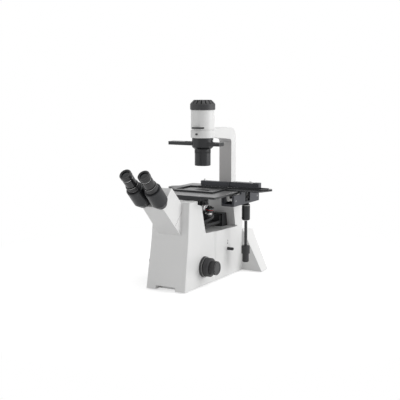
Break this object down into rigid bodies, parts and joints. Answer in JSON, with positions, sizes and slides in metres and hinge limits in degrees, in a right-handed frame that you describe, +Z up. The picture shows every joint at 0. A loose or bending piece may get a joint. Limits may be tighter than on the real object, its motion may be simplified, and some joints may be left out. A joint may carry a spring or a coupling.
{
  "type": "inverted microscope",
  "caption": "Inverted laboratory microscope with tilted twin eyepieces, mechanical stage, revolving nosepiece under the stage, and lamp and condenser on an arm above.",
  "frame": {"origin": "where the optical axis of the objective in use meets the table", "axes": "+Z up, +X to the user's right, -Y towards the user"},
  "size_m": [0.333, 0.5496, 0.53],
  "materials": {
    "white_paint": "satin",
    "black_anodised": "satin",
    "chrome": "polished",
    "steel": "satin",
    "glass": "polished",
    "mirror": "polished",
    "rubber": "matte",
    "black_plastic": "matte",
    "gloss_black": "gloss"
  },
  "bodies": {
    "root": {"stand_casting": "white_paint", "base_plate": "steel", "rubber_feet": "rubber", "head_housing": "white_paint", "pivot_tube": "steel", "tube_lens": "glass", "base_mirror": "mirror", "prism_bracket": "black_anodised", "camera_port": "black_anodised", "power_inlet": "black_plastic", "stage_plate": "black_anodised", "stage_insert": "black_anodised", "guide_rail": "steel", "guide_block": "black_anodised", "tension_collars": "black_plastic", "illumination_arm": "white_paint", "lamp_housing": "white_paint", "lamp_cap": "black_plastic", "lamp_socket": "black_plastic", "halogen_bulb": "glass", "collector_lens": "glass", "condenser_holder": "black_anodised", "condenser_barrel": "black_anodised", "condenser_lens": "glass", "clamp_screws": "chrome"},
    "left_arm": {"left_prism_housing": "black_anodised", "left_arm_prism": "glass", "left_eyepiece_tube": "black_anodised", "left_eyepiece": "gloss_black", "left_eye_lens": "glass"},
    "right_arm": {"right_prism_housing": "black_anodised", "right_arm_prism": "glass", "right_eyepiece_tube": "black_anodised", "right_eyepiece": "gloss_black", "right_eye_lens": "glass"},
    "left_diopter": {"left_diopter_ring": "black_anodised"},
    "right_diopter": {"right_diopter_ring": "black_anodised"},
    "stage_carriage": {"drive_housing": "black_anodised", "drive_tube": "black_anodised", "guide_beam": "black_anodised", "guide_screws": "chrome"},
    "y_drive": {"y_knob": "black_plastic"},
    "x_drive": {"x_knob": "black_plastic"},
    "holder_slide": {"x_slide": "black_anodised", "specimen_holder": "black_anodised"},
    "clip": {"holder_clip": "steel"},
    "nosepiece": {"carriage": "black_anodised"},
    "revolver": {"turret": "black_anodised", "objectives": "chrome"},
    "coarse_focus": {"focus_shaft": "steel", "coarse_knobs": "black_plastic"},
    "fine_focus": {"fine_knobs": "black_plastic"},
    "phase_insert": {"phase_slider": "black_anodised", "phase_annuli": "glass"},
    "diaphragm": {"field_diaphragm": "black_anodised"},
    "port_selector": {"prism_slide": "black_anodised", "beam_prism": "glass", "selector_rod": "steel"},
    "mains_rocker": {"power_switch": "black_plastic"},
    "lamp_dimmer": {"brightness_dial": "black_plastic"}
  },
  "joints": [
    {"name": "eye_distance_left", "type": "hinge", "parent": "root", "child": "left_arm", "pos_m": [0, -0.2535, 0.272], "axis": [0, 0.7071, -0.7071], "range_deg": [-7, 28]},
    {"name": "eye_distance_right", "type": "hinge", "parent": "root", "child": "right_arm", "pos_m": [0, -0.2535, 0.272], "axis": [0, -0.7071, 0.7071], "range_deg": [-7, 28]},
    {"name": "left_diopter_turn", "type": "hinge", "parent": "left_arm", "child": "left_diopter", "pos_m": [-0.02859, -0.27189, 0.25361], "axis": [0, -0.7071, 0.7071], "range_deg": [-150, 150]},
    {"name": "right_diopter_turn", "type": "hinge", "parent": "right_arm", "child": "right_diopter", "pos_m": [0.02859, -0.27189, 0.25361], "axis": [0, -0.7071, 0.7071], "range_deg": [-150, 150]},
    {"name": "stage_y", "type": "slide", "parent": "root", "child": "stage_carriage", "axis": [0, 1, 0], "range_m": [-0.039, 0.039]},
    {"name": "y_knob_turn", "type": "hinge", "parent": "stage_carriage", "child": "y_drive", "pos_m": [0.118, 0.053, 0.086], "axis": [0, 0, 1], "range_deg": [-380, 380]},
    {"name": "stage_x", "type": "slide", "parent": "stage_carriage", "child": "holder_slide", "axis": [1, 0, 0], "range_m": [-0.06, 0.038]},
    {"name": "x_knob_turn", "type": "hinge", "parent": "stage_carriage", "child": "x_drive", "pos_m": [0.118, 0.053, 0.06], "axis": [0, 0, 1], "range_deg": [-370, 580]},
    {"name": "clip_turn", "type": "hinge", "parent": "holder_slide", "child": "clip", "pos_m": [0.056, 0.05, 0.272], "axis": [0, 0, 1], "range_deg": [0, 35], "stiffness_Nm_per_rad": 0.02},
    {"name": "nosepiece_focus", "type": "slide", "parent": "root", "child": "nosepiece", "axis": [0, 0, 1], "range_m": [-0.0025, 0.0065]},
    {"name": "coarse_turn", "type": "hinge", "parent": "root", "child": "coarse_focus", "pos_m": [0, -0.108, 0.058], "axis": [1, 0, 0], "range_deg": [-24.5, 63]},
    {"name": "fine_turn", "type": "hinge", "parent": "coarse_focus", "child": "fine_focus", "pos_m": [0, -0.108, 0.058], "axis": [1, 0, 0], "continuous": true},
    {"name": "turret_turn", "type": "hinge", "parent": "nosepiece", "child": "revolver", "pos_m": [0, -0.03477, 0.19468], "axis": [0, -0.2588, 0.9659], "continuous": true},
    {"name": "phase_slide", "type": "slide", "parent": "root", "child": "phase_insert", "axis": [1, 0, 0], "range_m": [0, 0.0465]},
    {"name": "diaphragm_turn", "type": "hinge", "parent": "root", "child": "diaphragm", "pos_m": [0, 0, 0.4492], "axis": [0, 0, 1], "range_deg": [-12, 12]},
    {"name": "light_path_slide", "type": "slide", "parent": "root", "child": "port_selector", "axis": [1, 0, 0], "range_m": [0, 0.015]},
    {"name": "mains_rock", "type": "hinge", "parent": "root", "child": "mains_rocker", "pos_m": [-0.0645, 0.092, 0.042], "axis": [0, 1, 0], "range_deg": [-8, 8]},
    {"name": "dimmer_turn", "type": "hinge", "parent": "root", "child": "lamp_dimmer", "pos_m": [-0.0675, 0.048, 0.042], "axis": [-1, 0, 0], "range_deg": [0, 270]}
  ],
  "couplings": [
    {"joint": "eye_distance_right", "follows": "eye_distance_left", "ratio": 1},
    {"joint": "y_knob_turn", "follows": "stage_y", "rad_per_m": 166.67},
    {"joint": "x_knob_turn", "follows": "stage_x", "rad_per_m": -166.67},
    {"joint": "coarse_turn", "follows": "nosepiece_focus", "rad_per_m": 166.67}
  ]
}
